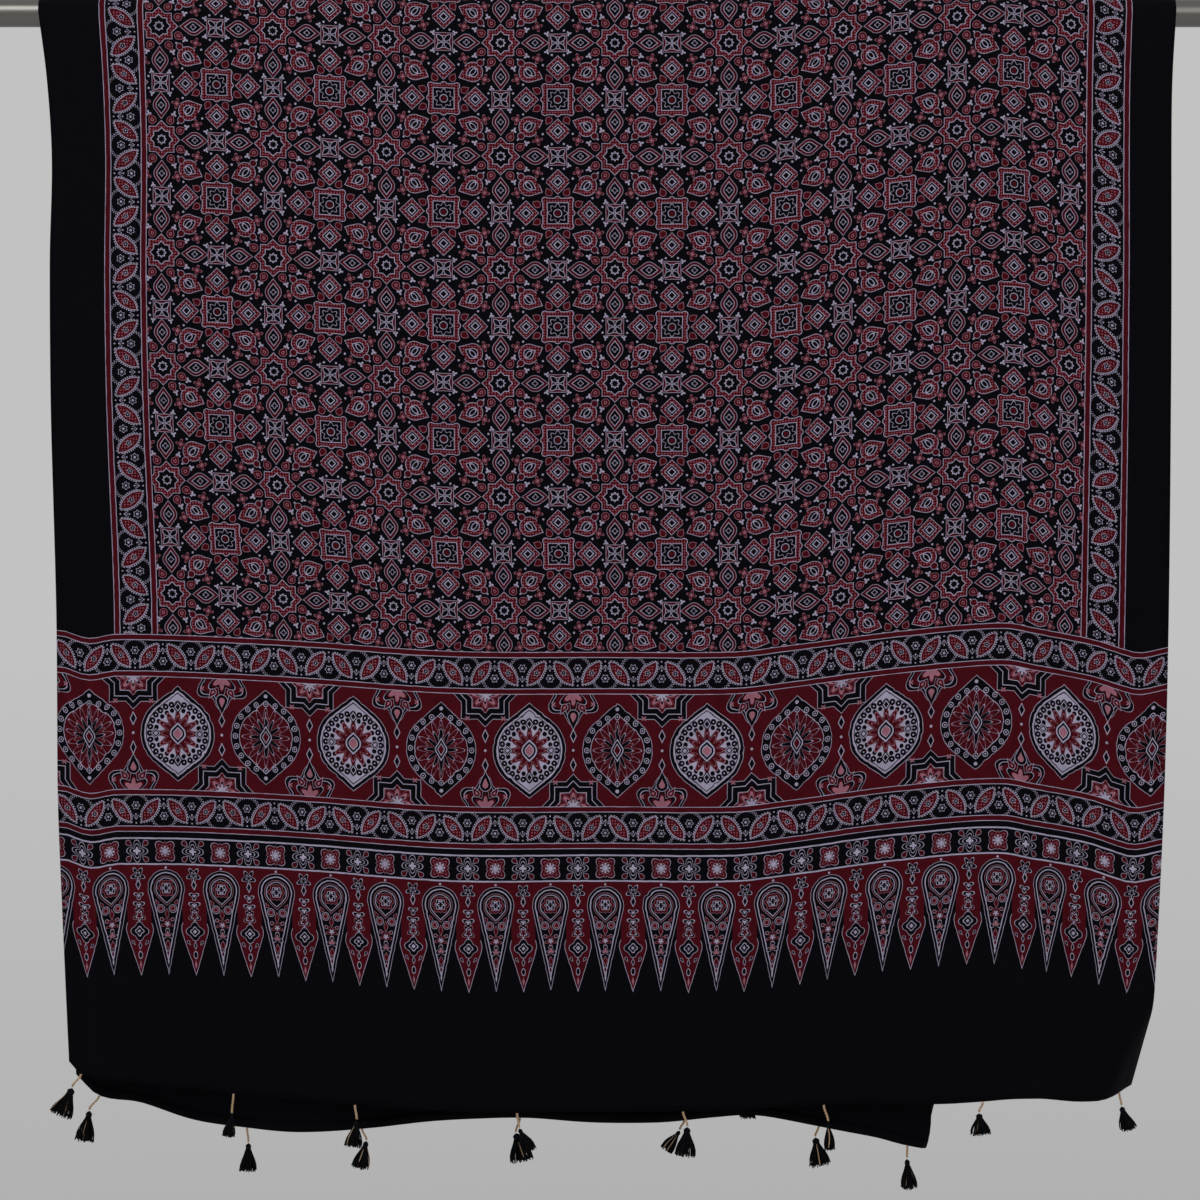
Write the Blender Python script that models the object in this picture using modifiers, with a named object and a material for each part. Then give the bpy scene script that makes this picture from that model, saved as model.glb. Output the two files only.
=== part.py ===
"""Block-printed ajrakh cloth hung over a plain steel rod, with a row of tassels along each hem.

Metres, +Z up. The origin is on the rod's axis, midway along it. +X runs along the rod, and the
front drop hangs on the -Y side. A place on the cloth is given by how far it lies across the width
from the left selvedge, and by its drop below the rod's axis on the front or the back.
"""

import math
from typing import NamedTuple

import bmesh
import bpy
import numpy as np
from mathutils import Matrix, Vector

# Rod
ROD_RADIUS = 0.014
ROD_LENGTH = 1.34
ROD_SIDES = 40
ROD_EDGE = 0.0012

# Cloth
CLOTH_WIDTH = 1.130
CLOTH_THICKNESS = 0.001
ROD_CLEARANCE = 0.001
WRAP_RADIUS = ROD_RADIUS + ROD_CLEARANCE + CLOTH_THICKNESS / 2
FULL_DROP = 1.10  # drop at which the folds reach their full angle
FOLD_GROWTH = 1.15  # power by which the folds open out on the way down
MOST_GROWTH = 1.1  # share of the full drop past which the folds grow no deeper
CUT_REACH = 0.03  # how far round a crease the sheet's facets are cut
STILL_ACROSS = 0.572  # the column that hangs straight down
STILL_X = 0.0141  # where that column crosses the rod
COLUMNS = 50
FRONT_ROWS = 15
WRAP_ROWS = 8
BACK_ROWS = 15
SECTION_STEPS = 560  # steps along the section when a fold profile is added up

# Tassels
CORD_RADIUS = 0.0008
CORD_GAP = 0.0004  # air between a hem, its cord and the tassel's head
TASSEL_SIDES = 10
SKIRT_FLATNESS = 0.62  # front-to-back size of a skirt against its width


class Station(NamedTuple):
    """One point on a hem line."""

    across: float
    drop: float


class DrawIn(NamedTuple):
    """How far each selvedge hangs in from its place on the rod, at one drop."""

    drop: float
    left: float
    right: float


class Flank(NamedTuple):
    """A stretch where the cloth's section turns away from the rod's line; positive goes back, to +Y."""

    across: float
    half_width: float
    degrees: float


class Crease(NamedTuple):
    """A fold line on one drop. What lies to its right turns towards +Y by so many degrees."""

    top_across: float
    top_drop: float
    foot_across: float
    foot_drop: float
    degrees: float
    radius: float
    ramp: float  # drop below the top over which the turn comes in


class Tassel(NamedTuple):
    """One tassel: where it is sewn on, how its head hangs off the hem, and the form of its skirt."""

    name: str
    across: float
    head_x: float
    head_y: float
    cord_drop: float
    lean: float
    width: float
    length: float


FRONT_HEM = (
    Station(0.000, 1.0425),
    Station(0.012, 1.0545),
    Station(0.083, 1.0645),
    Station(0.172, 1.0755),
    Station(0.300, 1.0855),
    Station(0.470, 1.0935),
    Station(0.643, 1.0925),
    Station(0.788, 1.0855),
    Station(0.917, 1.0845),
    Station(0.976, 1.0775),
    Station(1.010, 1.0785),
    Station(1.052, 1.0835),
    Station(1.081, 1.0825),
    Station(1.130, 1.0775),
)
BACK_HEM = (
    Station(0.000, 1.0615),
    Station(0.022, 1.0825),
    Station(0.066, 1.0915),
    Station(0.125, 1.1095),
    Station(0.187, 1.1165),
    Station(0.240, 1.1195),
    Station(0.315, 1.1155),
    Station(0.382, 1.1105),
    Station(0.483, 1.1075),
    Station(0.557, 1.1105),
    Station(0.619, 1.1105),
    Station(0.676, 1.1065),
    Station(0.720, 1.1055),
    Station(0.781, 1.1155),
    Station(0.844, 1.1255),
    Station(0.880, 1.1345),
    Station(0.930, 1.1415),
    Station(1.130, 1.1415),
)
FRONT_FLANKS = (
    Flank(0.020, 0.020, -20.0),
    Flank(0.110, 0.034, 24.0),
    Flank(0.300, 0.100, -7.0),
    Flank(0.470, 0.090, 8.0),
    Flank(0.655, 0.080, -8.0),
    Flank(0.790, 0.070, 9.0),
    Flank(0.872, 0.050, -9.0),
    Flank(0.945, 0.032, -28.0),
    Flank(1.012, 0.045, 30.0),
    Flank(1.082, 0.030, -18.0),
)
BACK_FLANKS = (
    Flank(0.045, 0.035, 16.0),
    Flank(0.175, 0.070, -9.0),
    Flank(0.345, 0.090, 9.0),
    Flank(0.495, 0.060, -10.0),
    Flank(0.680, 0.080, 9.0),
    Flank(0.800, 0.040, -13.0),
)
# The loose weave draws the cloth in as it leaves the rod, and more towards the hems.
DRAWN_IN = (
    DrawIn(0.00, 0.000, 0.000),
    DrawIn(0.07, 0.009, 0.004),
    DrawIn(0.15, 0.014, 0.005),
    DrawIn(0.25, 0.012, 0.005),
    DrawIn(0.40, 0.013, 0.005),
    DrawIn(0.60, 0.018, 0.006),
    DrawIn(0.78, 0.019, 0.009),
    DrawIn(0.90, 0.023, 0.013),
    DrawIn(1.00, 0.027, 0.017),
    DrawIn(1.10, 0.031, 0.020),
    DrawIn(1.20, 0.034, 0.022),
)

BACK_FLAP = Crease(1.116, 0.010, 0.897, 1.1415, 180.0, 0.003, 0.110)
FRONT_CORNER = Crease(1.132, 0.9665, 1.069, 1.0865, 48.0, 0.016, 0.010)

TASSELS = (
    Tassel("front_1", 0.012, -0.008, -0.002, 0.012, 25.0, 0.024, 0.030),
    Tassel("front_2", 0.172, -0.001, -0.004, 0.018, 10.0, 0.013, 0.023),
    Tassel("front_3", 0.300, 0.002, -0.003, 0.013, 9.0, 0.018, 0.027),
    Tassel("front_4", 0.470, 0.002, -0.003, 0.013, -27.0, 0.014, 0.026),
    Tassel("front_5", 0.643, 0.004, -0.003, 0.013, 4.0, 0.022, 0.030),
    Tassel("front_6", 0.788, 0.004, -0.003, 0.015, -4.0, 0.011, 0.028),
    Tassel("front_7", 0.952, -0.004, -0.002, 0.009, -4.0, 0.021, 0.022),
    Tassel("front_8", 1.108, 0.002, 0.000, 0.012, -17.0, 0.018, 0.025),
    Tassel("back_1", 0.023, -0.010, 0.003, 0.014, 10.0, 0.020, 0.032),
    Tassel("back_2", 0.180, 0.001, 0.003, 0.014, 2.0, 0.018, 0.029),
    Tassel("back_3", 0.303, 0.004, 0.003, 0.011, 14.0, 0.018, 0.029),
    Tassel("back_4", 0.471, -0.004, 0.003, 0.014, -12.0, 0.024, 0.030),
    Tassel("back_5", 0.645, -0.004, 0.003, 0.009, 36.0, 0.014, 0.025),
    Tassel("back_6", 0.787, -0.003, 0.003, 0.010, -9.0, 0.023, 0.030),
    Tassel("back_7", 0.880, 0.000, 0.003, 0.012, -4.0, 0.017, 0.031),
    Tassel("back_8", 1.105, 0.001, 0.003, 0.013, 3.0, 0.018, 0.030),
)
# Height and radius down the outside of a tassel, as shares of its length and of its skirt's half width.
TASSEL_HEIGHTS = (0.00, 0.02, 0.10, 0.20, 0.29, 0.55, 0.97, 1.00)
TASSEL_RADII = (0.00, 0.22, 0.34, 0.25, 0.36, 0.66, 1.00, 0.00)


def smooth(share: float) -> float:
    """An ease from 0 to 1 with level ends."""
    share = min(max(share, 0.0), 1.0)
    return share * share * (3.0 - 2.0 * share)


def along_curve(table: tuple, at: float, column: int = 1) -> float:
    """The value of a table's column at a place in its first column, on a smooth curve through its rows."""
    last = len(table) - 2
    i = next((i for i in range(last) if at <= table[i + 1][0]), last)
    before, start, end, after = (table[min(max(i + k, 0), last + 1)] for k in (-1, 0, 1, 2))
    span = end[0] - start[0]
    share = min(max((at - start[0]) / span, 0.0), 1.0)
    slope_in = (end[column] - before[column]) / (end[0] - before[0]) * span
    slope_out = (after[column] - start[column]) / (after[0] - start[0]) * span
    rest = 1.0 - share
    return (
        start[column] * rest * rest * (1.0 + 2.0 * share)
        + end[column] * share * share * (3.0 - 2.0 * share)
        + slope_in * share * rest * rest
        - slope_out * share * share * rest
    )


def flank_turn(flank: Flank, across: np.ndarray) -> np.ndarray:
    """The angle in radians that one flank gives to the section at each place across."""
    share = np.clip((across - flank.across) / flank.half_width, -1.0, 1.0)
    return math.radians(flank.degrees) * np.cos(share * math.pi / 2) ** 2


class Drop:
    """One side of the hanging cloth: its horizontal section at every height."""

    def __init__(self, side: float, flanks: tuple, crease: Crease):
        self.side = side  # -1 in front of the rod, 1 behind it
        self.crease = crease
        self.across = np.linspace(0.0, CLOTH_WIDTH, SECTION_STEPS + 1)
        self.turn = sum(flank_turn(flank, self.across) for flank in flanks)

    def section(self, drop: float) -> tuple:
        """The section's x, y and turn at its steps across, at one drop below the rod's axis."""
        growth = min(max(drop / FULL_DROP, 0.0), MOST_GROWTH) ** FOLD_GROWTH
        turn = self.turn * growth
        middle = (turn[1:] + turn[:-1]) / 2
        step = self.across[1] - self.across[0]
        x = np.concatenate([[0.0], np.cumsum(np.cos(middle) * step)])
        y = np.concatenate([[0.0], np.cumsum(np.sin(middle) * step)])
        x -= np.interp(STILL_ACROSS, self.across, x)
        y += self.side * WRAP_RADIUS - np.interp(STILL_ACROSS, self.across, y)
        left = 1.0 - along_curve(DRAWN_IN, drop, 1) / STILL_ACROSS
        right = 1.0 - along_curve(DRAWN_IN, drop, 2) / (CLOTH_WIDTH - STILL_ACROSS)
        return STILL_X + x * np.where(x < 0.0, left, right), y, turn

    def folded(self, across: float, drop: float) -> tuple:
        """Where a place lies once the crease is folded: across, drop and how far it stands off the drop."""
        crease = self.crease
        top = Vector((crease.top_across, crease.top_drop))
        foot = Vector((crease.foot_across, crease.foot_drop))
        down = (foot - top).normalized()
        right = Vector((down.y, -down.x))
        place = Vector((across, drop))
        out = (place - top).dot(right)
        if out <= 0.0 or drop <= crease.top_drop:
            return across, drop, 0.0
        turn = math.radians(crease.degrees) * smooth((drop - crease.top_drop) / crease.ramp)
        if turn <= 1e-6:
            return across, drop, 0.0
        angle = min(out / crease.radius, turn)
        straight = out - angle * crease.radius
        reach = crease.radius * math.sin(angle) + straight * math.cos(angle)
        stand = crease.radius * (1.0 - math.cos(angle)) + straight * math.sin(angle)
        place += right * (reach - out)
        return place.x, place.y, stand

    def point(self, across: float, drop: float) -> Vector:
        """The place in space of a point on this drop."""
        across, drop, stand = self.folded(across, drop)
        x, y, turn = self.section(drop)
        angle = np.interp(across, self.across, turn)
        return Vector(
            (
                np.interp(across, self.across, x) - math.sin(angle) * stand,
                np.interp(across, self.across, y) + math.cos(angle) * stand,
                -drop,
            )
        )


FRONT = Drop(-1.0, FRONT_FLANKS, FRONT_CORNER)
BACK = Drop(1.0, BACK_FLANKS, BACK_FLAP)


def new_material(name: str, colour: tuple, roughness: float, metallic: float):
    """A plain shaded material."""
    material = bpy.data.materials.new(name)
    material.use_nodes = True
    shader = material.node_tree.nodes["Principled BSDF"]
    shader.inputs["Base Color"].default_value = (*colour, 1.0)
    shader.inputs["Roughness"].default_value = roughness
    shader.inputs["Metallic"].default_value = metallic
    return material


def add_object(name: str, data, material, collection):
    """Links a new object of the given mesh or curve, with its material."""
    made = bpy.data.objects.new(name, data)
    made.data.materials.append(material)
    collection.objects.link(made)
    return made


def crease_cuts(cloth: bmesh.types.BMesh, crease: Crease, sign: float, fold_steps: int):
    """Cuts the flat sheet along a crease and along the round of its fold, so that facets follow it."""
    top = Vector((crease.top_across, sign * crease.top_drop, 0.0))
    foot = Vector((crease.foot_across, sign * crease.foot_drop, 0.0))
    down = (foot - top).normalized()
    right = Vector((abs(down.y), -down.x * down.y / abs(down.y), 0.0))
    round_length = math.radians(crease.degrees) * crease.radius
    for step in range(fold_steps + 1):
        at = top + right * (round_length * step / fold_steps)
        faces = [
            face
            for face in cloth.faces
            if sign * face.calc_center_median().y > crease.top_drop - CUT_REACH
            and (face.calc_center_median() - top).dot(right) > -CUT_REACH
            and (face.calc_center_median() - top).dot(right) < round_length + CUT_REACH
        ]
        edges = list({edge for face in faces for edge in face.edges})
        verts = list({vert for face in faces for vert in face.verts})
        bmesh.ops.bisect_plane(
            cloth, geom=verts + edges + faces, dist=1e-5, plane_co=at, plane_no=right
        )


def make_cloth(collection):
    """The cloth: a flat grid, cut along its creases, hung over the rod and thickened."""
    rows = FRONT_ROWS + WRAP_ROWS + BACK_ROWS
    cloth = bmesh.new()
    bmesh.ops.create_grid(cloth, x_segments=COLUMNS, y_segments=rows, size=0.5)
    for vert in cloth.verts:
        across = (vert.co.x + 0.5) * CLOTH_WIDTH
        row = round((vert.co.y + 0.5) * rows)
        if row <= FRONT_ROWS:
            level = -along_curve(FRONT_HEM, across) * (1.0 - row / FRONT_ROWS)
        elif row <= FRONT_ROWS + WRAP_ROWS:
            level = 0.0
        else:
            level = along_curve(BACK_HEM, across) * (row - FRONT_ROWS - WRAP_ROWS) / BACK_ROWS
        wrapped = min(max(row - FRONT_ROWS, 0), WRAP_ROWS) / WRAP_ROWS
        vert.co = (across, level, wrapped)
    crease_cuts(cloth, BACK_FLAP, 1.0, 4)
    crease_cuts(cloth, FRONT_CORNER, -1.0, 3)
    for vert in cloth.verts:
        across, level, wrapped = vert.co
        if level < 0.0:
            vert.co = FRONT.point(across, -level)
        elif level > 0.0:
            vert.co = BACK.point(across, level)
        else:
            angle = wrapped * math.pi
            x = STILL_X + across - STILL_ACROSS
            vert.co = (x, -WRAP_RADIUS * math.cos(angle), WRAP_RADIUS * math.sin(angle))
    bmesh.ops.triangulate(cloth, faces=[face for face in cloth.faces if len(face.verts) > 4])
    bmesh.ops.recalc_face_normals(cloth, faces=cloth.faces)
    mesh = bpy.data.meshes.new("cloth")
    cloth.to_mesh(mesh)
    cloth.free()
    mesh.shade_smooth()
    material = new_material("printed_cloth", (0.030, 0.012, 0.020), 0.75, 0.0)
    made = add_object("cloth", mesh, material, collection)
    thicken = made.modifiers.new("Solidify", "SOLIDIFY")
    thicken.thickness = CLOTH_THICKNESS
    thicken.offset = 0.0
    return made


def make_rod(collection):
    """The rod: a straight round bar with softened ends."""
    bar = bmesh.new()
    bmesh.ops.create_cone(
        bar,
        cap_ends=True,
        segments=ROD_SIDES,
        radius1=ROD_RADIUS,
        radius2=ROD_RADIUS,
        depth=ROD_LENGTH,
        matrix=Matrix.Rotation(math.pi / 2, 4, "Y"),
    )
    mesh = bpy.data.meshes.new("rod")
    bar.to_mesh(mesh)
    bar.free()
    material = new_material("steel_rod", (0.42, 0.42, 0.42), 0.3, 1.0)
    made = add_object("rod", mesh, material, collection)
    soften = made.modifiers.new("Bevel", "BEVEL")
    soften.width = ROD_EDGE
    soften.segments = 1
    soften.angle_limit = math.radians(60)
    return made


def sewn_at(tassel: Tassel) -> Vector:
    """The place on the hem where a tassel's cord is sewn."""
    if tassel.name.startswith("front"):
        return FRONT.point(tassel.across, along_curve(FRONT_HEM, tassel.across))
    return BACK.point(tassel.across, along_curve(BACK_HEM, tassel.across))


def make_tassel(tassel: Tassel, yarn, cord_yarn, collection):
    """One tassel and the short cord that it hangs by."""
    top = sewn_at(tassel) - Vector((0.0, 0.0, CLOTH_THICKNESS / 2 + CORD_GAP))
    head = top + Vector((tassel.head_x, tassel.head_y, -tassel.cord_drop))
    curve = bpy.data.curves.new("cord_" + tassel.name, "CURVE")
    curve.dimensions = "3D"
    curve.bevel_depth = CORD_RADIUS
    curve.bevel_resolution = 2
    curve.use_fill_caps = True
    line = curve.splines.new("POLY")
    line.points.add(3)
    for point, share in zip(line.points, (0.0, 0.3, 0.65, 1.0)):
        sway = share * share * (3.0 - 2.0 * share)
        place = Vector((tassel.head_x * sway, tassel.head_y * sway, -tassel.cord_drop * share))
        point.co = (*(top + place), 1.0)
    add_object("cord_" + tassel.name, curve, cord_yarn, collection)

    profile = bmesh.new()
    verts = [
        profile.verts.new((radius * tassel.width / 2, 0.0, -height * tassel.length))
        for height, radius in zip(TASSEL_HEIGHTS, TASSEL_RADII)
    ]
    for upper, lower in zip(verts, verts[1:]):
        profile.edges.new((upper, lower))
    mesh = bpy.data.meshes.new("tassel_" + tassel.name)
    profile.to_mesh(mesh)
    profile.free()
    made = add_object("tassel_" + tassel.name, mesh, yarn, collection)
    turned = made.modifiers.new("Screw", "SCREW")
    turned.steps = TASSEL_SIDES
    turned.render_steps = TASSEL_SIDES
    turned.use_merge_vertices = True
    turned.merge_threshold = 0.00001
    turned.use_smooth_shade = True
    made.location = head - Vector((0.0, 0.0, CORD_GAP + CORD_RADIUS))
    made.rotation_euler = (0.0, math.radians(tassel.lean), 0.0)
    made.scale = (1.0, SKIRT_FLATNESS, 1.0)
    return made


def main():
    """Clears the file and builds every piece."""
    for old in list(bpy.data.objects):
        bpy.data.objects.remove(old)
    collection = bpy.data.collections.new("ajrakh_cloth_on_rod")
    bpy.context.scene.collection.children.link(collection)
    make_cloth(collection)
    make_rod(collection)
    yarn = new_material("black_yarn", (0.010, 0.009, 0.012), 0.85, 0.0)
    cord_yarn = new_material("beige_yarn", (0.42, 0.30, 0.22), 0.8, 0.0)
    for tassel in TASSELS:
        make_tassel(tassel, yarn, cord_yarn, collection)


main()
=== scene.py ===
"""A block-printed ajrakh cloth hung over a steel rod, with yarn tassels along its two hems."""

import logging
import math
import random
from collections.abc import Iterable
from dataclasses import dataclass
from enum import Enum

import bmesh
import bpy
import numpy as np
from mathutils import Matrix, Vector, noise


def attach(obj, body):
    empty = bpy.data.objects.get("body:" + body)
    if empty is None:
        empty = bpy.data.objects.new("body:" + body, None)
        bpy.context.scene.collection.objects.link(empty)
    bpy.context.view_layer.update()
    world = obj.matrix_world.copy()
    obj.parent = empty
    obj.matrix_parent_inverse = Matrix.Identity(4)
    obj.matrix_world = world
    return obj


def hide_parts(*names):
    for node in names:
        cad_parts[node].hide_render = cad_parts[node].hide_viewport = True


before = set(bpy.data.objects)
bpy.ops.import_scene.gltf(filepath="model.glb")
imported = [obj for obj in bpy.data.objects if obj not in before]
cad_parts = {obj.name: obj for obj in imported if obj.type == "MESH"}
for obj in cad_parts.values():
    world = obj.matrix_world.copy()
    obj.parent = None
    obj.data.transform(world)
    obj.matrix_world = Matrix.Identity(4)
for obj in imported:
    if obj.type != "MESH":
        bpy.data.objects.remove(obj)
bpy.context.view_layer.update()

logging.basicConfig(level=logging.INFO, format="%(message)s")
LOG = logging.getLogger("ajrakh")

MM = 0.001
BODY = "root"
PRINT_MAP = "print"
WEAVE_MAP = "weave"
Table = tuple[tuple[float, ...], ...]


def dye(code: str) -> tuple[float, float, float, float]:
    """Turns an sRGB colour into the linear one that shaders use.

    Args:
        code: The colour as six hex digits after a hash.

    Returns:
        Linear red, green, blue and an alpha of 1.
    """
    parts = [int(code[i : i + 2], 16) / 255 for i in (1, 3, 5)]
    linear = [p / 12.92 if p <= 0.04045 else ((p + 0.055) / 1.055) ** 2.4 for p in parts]
    return (linear[0], linear[1], linear[2], 1.0)


def add_node(tree: bpy.types.NodeTree, kind: str, inputs: dict | None = None, **settings) -> bpy.types.Node:
    """Adds a shader node, with its settings, and fills or links its sockets.

    Args:
        tree: The node tree it goes in.
        kind: The node's type.
        inputs: Socket name or number to a value, or to the output socket that feeds it.
        **settings: The node's own properties.

    Returns:
        The new node.
    """
    node = tree.nodes.new(kind)
    for name, value in settings.items():
        setattr(node, name, value)
    for key, value in (inputs or {}).items():
        if isinstance(value, bpy.types.NodeSocket):
            tree.links.new(value, node.inputs[key])
        else:
            node.inputs[key].default_value = value
    return node


def new_material(name: str) -> tuple[bpy.types.Material, bpy.types.NodeTree, bpy.types.Node]:
    """Makes an empty node material.

    Args:
        name: What the real stuff is.

    Returns:
        The material, its node tree and its shader.
    """
    material = bpy.data.materials.new(name)
    material.use_nodes = True
    tree = material.node_tree
    return material, tree, tree.nodes["Principled BSDF"]


def finish_piece(name: str, mesh: bmesh.types.BMesh, materials: Iterable[bpy.types.Material],
                 nodes: Iterable[str]) -> bpy.types.Object:
    """Turns a bmesh into a shown piece that stands for CAD nodes.

    Args:
        name: The piece's name.
        mesh: Its finished shape, in place.
        materials: Its materials, in the order of its faces' numbers.
        nodes: The CAD nodes that it replaces.

    Returns:
        The piece's object.
    """
    data = bpy.data.meshes.new(name)
    mesh.to_mesh(data)
    mesh.free()
    for polygon in data.polygons:
        polygon.use_smooth = True
    for material in materials:
        data.materials.append(material)
    piece = bpy.data.objects.new(name, data)
    bpy.context.scene.collection.objects.link(piece)
    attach(piece, BODY)
    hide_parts(*nodes)
    LOG.info("%s: %d faces", name, len(data.polygons))
    return piece


def along_curve(table: Table, at: float, column: int = 1) -> float:
    """Reads a table's column on a smooth curve through its rows.

    Args:
        table: Rows in order of their first column.
        at: The place in the first column.
        column: The column to read.

    Returns:
        The value there.
    """
    last = len(table) - 2
    i = next((i for i in range(last) if at <= table[i + 1][0]), last)
    before, start, end, after = (table[min(max(i + k, 0), last + 1)] for k in (-1, 0, 1, 2))
    span = end[0] - start[0]
    share = min(max((at - start[0]) / span, 0.0), 1.0)
    slope_in = (end[column] - before[column]) / (end[0] - before[0]) * span
    slope_out = (after[column] - start[column]) / (after[0] - start[0]) * span
    rest = 1.0 - share
    return (
        start[column] * rest * rest * (1.0 + 2.0 * share)
        + end[column] * share * share * (3.0 - 2.0 * share)
        + slope_in * share * rest * rest
        - slope_out * share * share * rest
    )


def ease(share: float) -> float:
    """An ease from 0 to 1 with level ends."""
    share = min(max(share, 0.0), 1.0)
    return share * share * (3.0 - 2.0 * share)


def sweep(mesh: bmesh.types.BMesh, path: list[Vector], radii: list[float], sides: int,
          flat: float = 1.0) -> None:
    """Adds a closed tube that follows a path.

    Args:
        mesh: The bmesh it is added to.
        path: The points that it follows.
        radii: Its radius at each point.
        sides: How many sides it has.
        flat: Its size front to back against its width.
    """
    ring = bmesh.ops.create_circle(mesh, cap_ends=True, segments=sides, radius=1.0)["verts"]
    shape = [vert.co.copy() for vert in ring]
    edges = list({edge for vert in ring for edge in vert.link_edges})
    for i, (point, radius) in enumerate(zip(path, radii)):
        if i:
            made = bmesh.ops.extrude_edge_only(mesh, edges=edges)["geom"]
            new = [item for item in made if isinstance(item, bmesh.types.BMVert)]
            matched = {tuple(round(c, 9) for c in vert.co): vert for vert in new}
            ring = [matched[tuple(round(c, 9) for c in vert.co)] for vert in ring]
            rings = set(ring)
            edges = [
                item for item in made
                if isinstance(item, bmesh.types.BMEdge) and all(vert in rings for vert in item.verts)
            ]
        ahead = path[min(i + 1, len(path) - 1)] - path[max(i - 1, 0)]
        turn = ahead.to_track_quat("Z", "Y")
        for vert, corner in zip(ring, shape):
            offset = turn @ (corner * radius)
            vert.co = point + Vector((offset.x, offset.y * flat, offset.z))
    bmesh.ops.edgeloop_fill(mesh, edges=edges)


# ---------------------------------------------------------------- the print


class Ink(Enum):
    """What a block leaves on the cloth: shares of madder, of resist and of fine dots."""

    BLACK = (0.0, 0.0, 0.0)
    PALE = (0.0, 1.0, 0.0)
    RED = (1.0, 0.0, 0.0)
    DOTTED = (1.0, 0.0, 1.0)
    ROSE = (1.0, 0.75, 0.0)


class Form(Enum):
    """The outline of one carved mark."""

    ROUND = "ellipse"
    DIAMOND = "diamond"
    SQUARE = "rectangle"
    STAR = "square and diamond together"
    LENS = "two arcs that meet in points"
    TEAR = "circle drawn out to a tip"
    OGEE = "circle drawn out to two tips"
    LOBED = "flower or toothed wheel"
    STRIPE = "line along the band"
    BEADS = "dots on an oval"


class Fold(Enum):
    """How a block's repeat is mirrored."""

    MIRROR = "left to right"
    QUARTERS = "left to right and top to bottom"
    EIGHTHS = "quarters, and across their diagonal"
    TURNED = "half a turn about the middle"


@dataclass(frozen=True)
class Mark:
    """One carved mark: inks start at their depths in millimetres in from its edge."""

    form: Form
    at: tuple[float, float]
    size: tuple[float, float]
    inks: tuple[tuple[float, Ink], ...]
    turn: float = 0.0
    lobes: int = 0
    wave: float = 0.0
    comb: float = 0.0
    diagonal: bool = False


@dataclass(frozen=True)
class Block:
    """A carved block: its repeat in millimetres, how it is mirrored, and its marks in printing order."""

    name: str
    repeat: tuple[float, float]
    fold: Fold
    ground: Ink
    marks: tuple[Mark, ...]


P, R, B, D, Q = Ink.PALE, Ink.RED, Ink.BLACK, Ink.DOTTED, Ink.ROSE

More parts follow.
